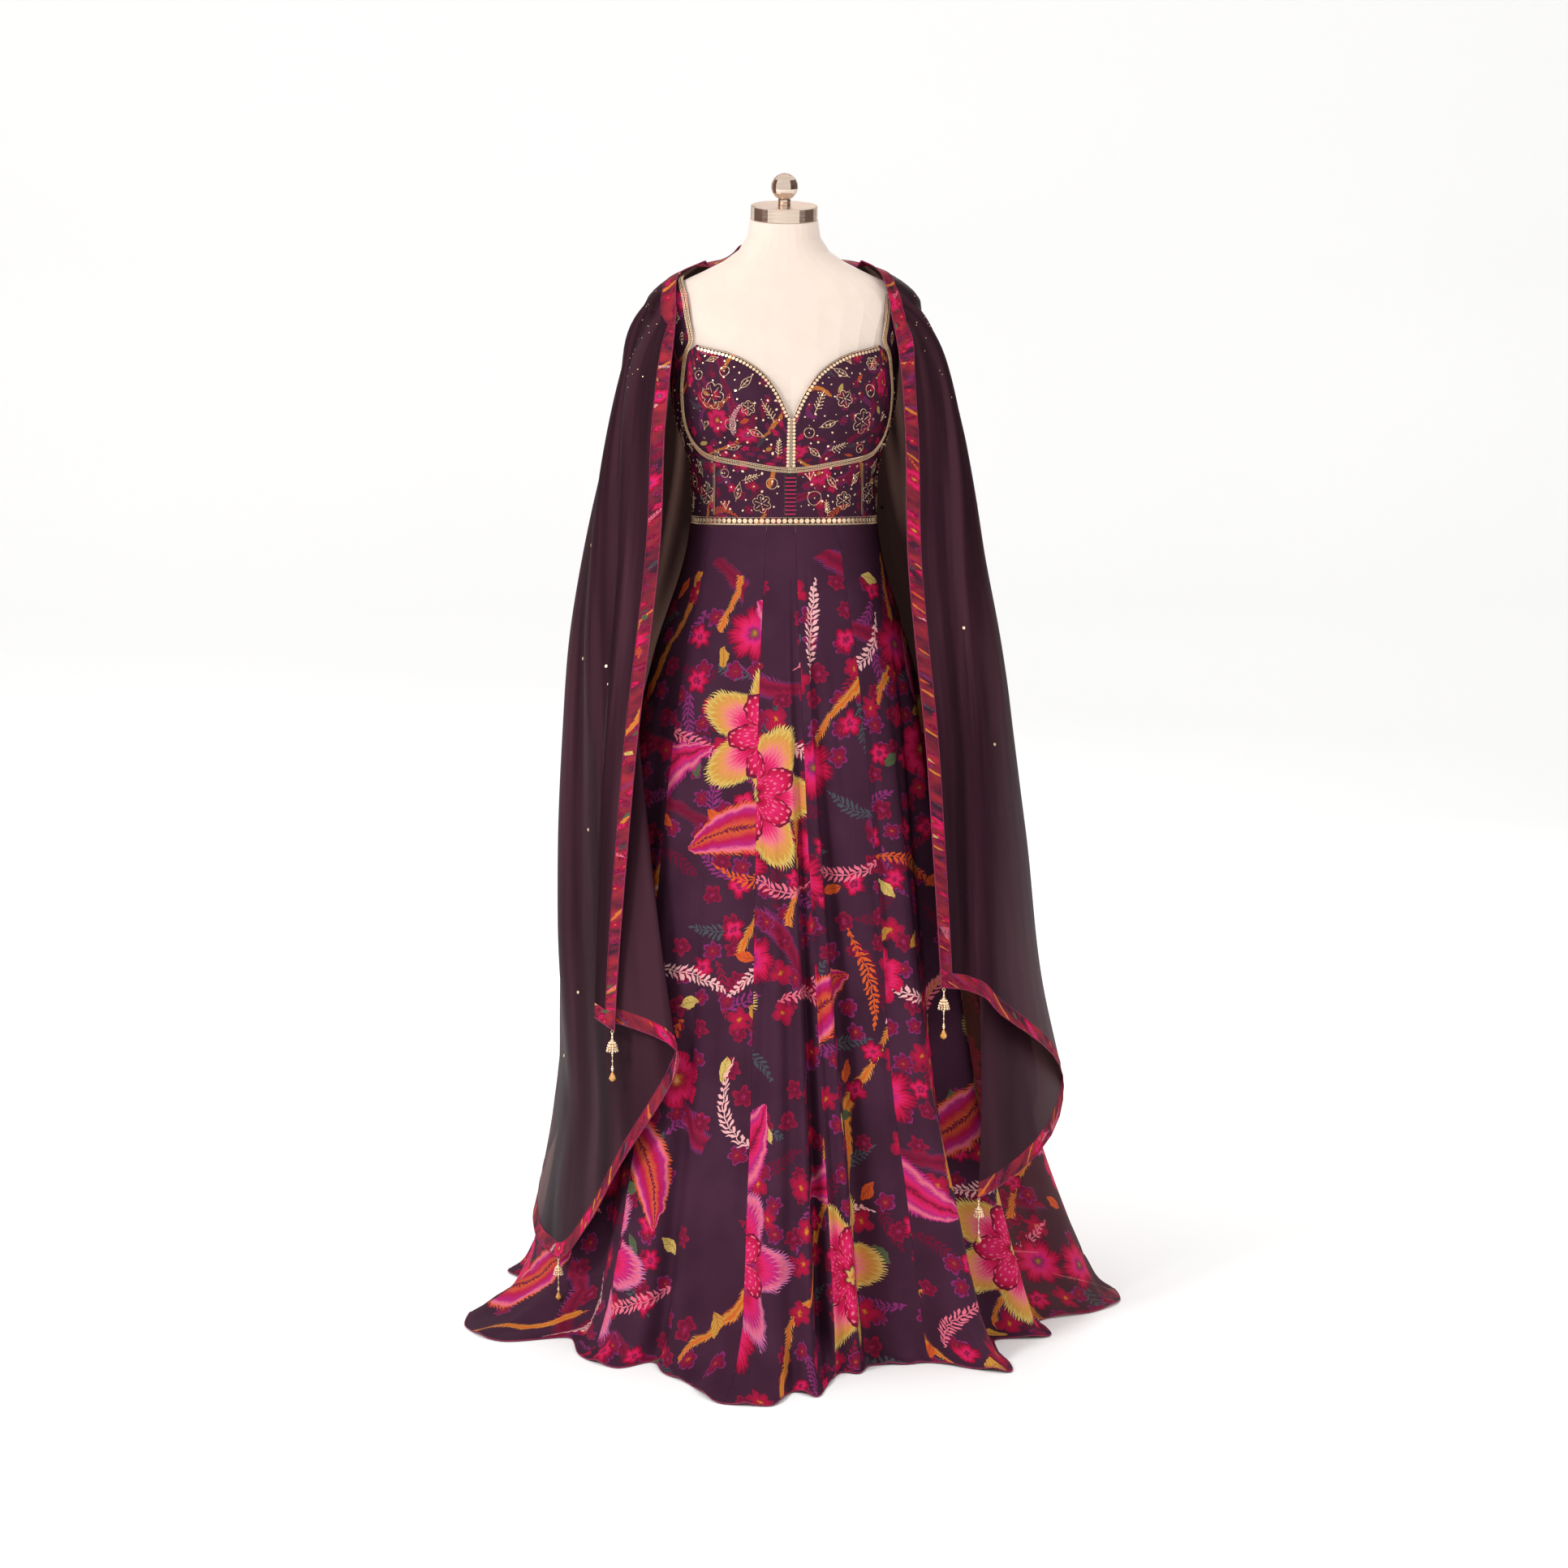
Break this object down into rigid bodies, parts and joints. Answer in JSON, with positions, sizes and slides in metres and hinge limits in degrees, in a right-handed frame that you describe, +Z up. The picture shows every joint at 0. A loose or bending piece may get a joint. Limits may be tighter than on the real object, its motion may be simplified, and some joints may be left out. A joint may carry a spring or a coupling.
{
  "type": "anarkali gown and dupatta on a dress form",
  "caption": "Floor-length sleeveless anarkali gown in printed georgette with a gold-trimmed bodice, a sheer dupatta over both shoulders and a limbless dress form.",
  "frame": {"origin": "centre of the stand base's underside, on the floor", "axes": "+Z up along the form's pole, the gown's front towards -Y, +X towards the right of a viewer in front of it"},
  "size_m": [0.9672, 1.0552, 1.6553],
  "materials": {
    "gown_cloth": "matt georgette",
    "bodice_cloth": "matt embroidered silk",
    "gold_beads": "bright beads",
    "dupatta_chiffon": "sheer chiffon",
    "border_cloth": "printed border",
    "form_jersey": "smooth jersey",
    "brushed_metal": "brushed, warm tint"
  },
  "bodies": {
    "root": {"skirt_back_left": "gown_cloth", "skirt_side_left": "gown_cloth", "skirt_front_left": "gown_cloth", "skirt_centre_left": "gown_cloth", "skirt_centre_right": "gown_cloth", "skirt_front_right": "gown_cloth", "skirt_side_right": "gown_cloth", "skirt_back_right": "gown_cloth", "cup_left": "bodice_cloth", "cup_right": "bodice_cloth", "midriff_left": "bodice_cloth", "midriff_right": "bodice_cloth", "side_front_left": "bodice_cloth", "side_front_right": "bodice_cloth", "back_left": "bodice_cloth", "back_right": "bodice_cloth", "placket": "bodice_cloth", "trim_neckline_left": "gold_beads", "trim_neckline_right": "gold_beads", "trim_centre_left": "gold_beads", "trim_centre_right": "gold_beads", "trim_princess_left": "gold_beads", "trim_princess_right": "gold_beads", "trim_waist": "gold_beads", "latkan_front_left": "gold_beads", "latkan_side_left": "gold_beads", "latkan_side_right": "gold_beads", "latkan_front_right": "gold_beads", "dupatta_left": "dupatta_chiffon", "dupatta_back": "dupatta_chiffon", "dupatta_right": "dupatta_chiffon", "border_front_left": "border_cloth", "border_front_right": "border_cloth", "border_neck": "border_cloth", "border_end_left": "border_cloth", "border_back": "border_cloth", "border_end_right": "border_cloth", "form_torso": "form_jersey", "neck_cap": "brushed_metal", "finial_collar": "brushed_metal", "finial_ball": "brushed_metal", "stand_base": "brushed_metal", "stand_pole": "brushed_metal"}
  },
  "joints": []
}
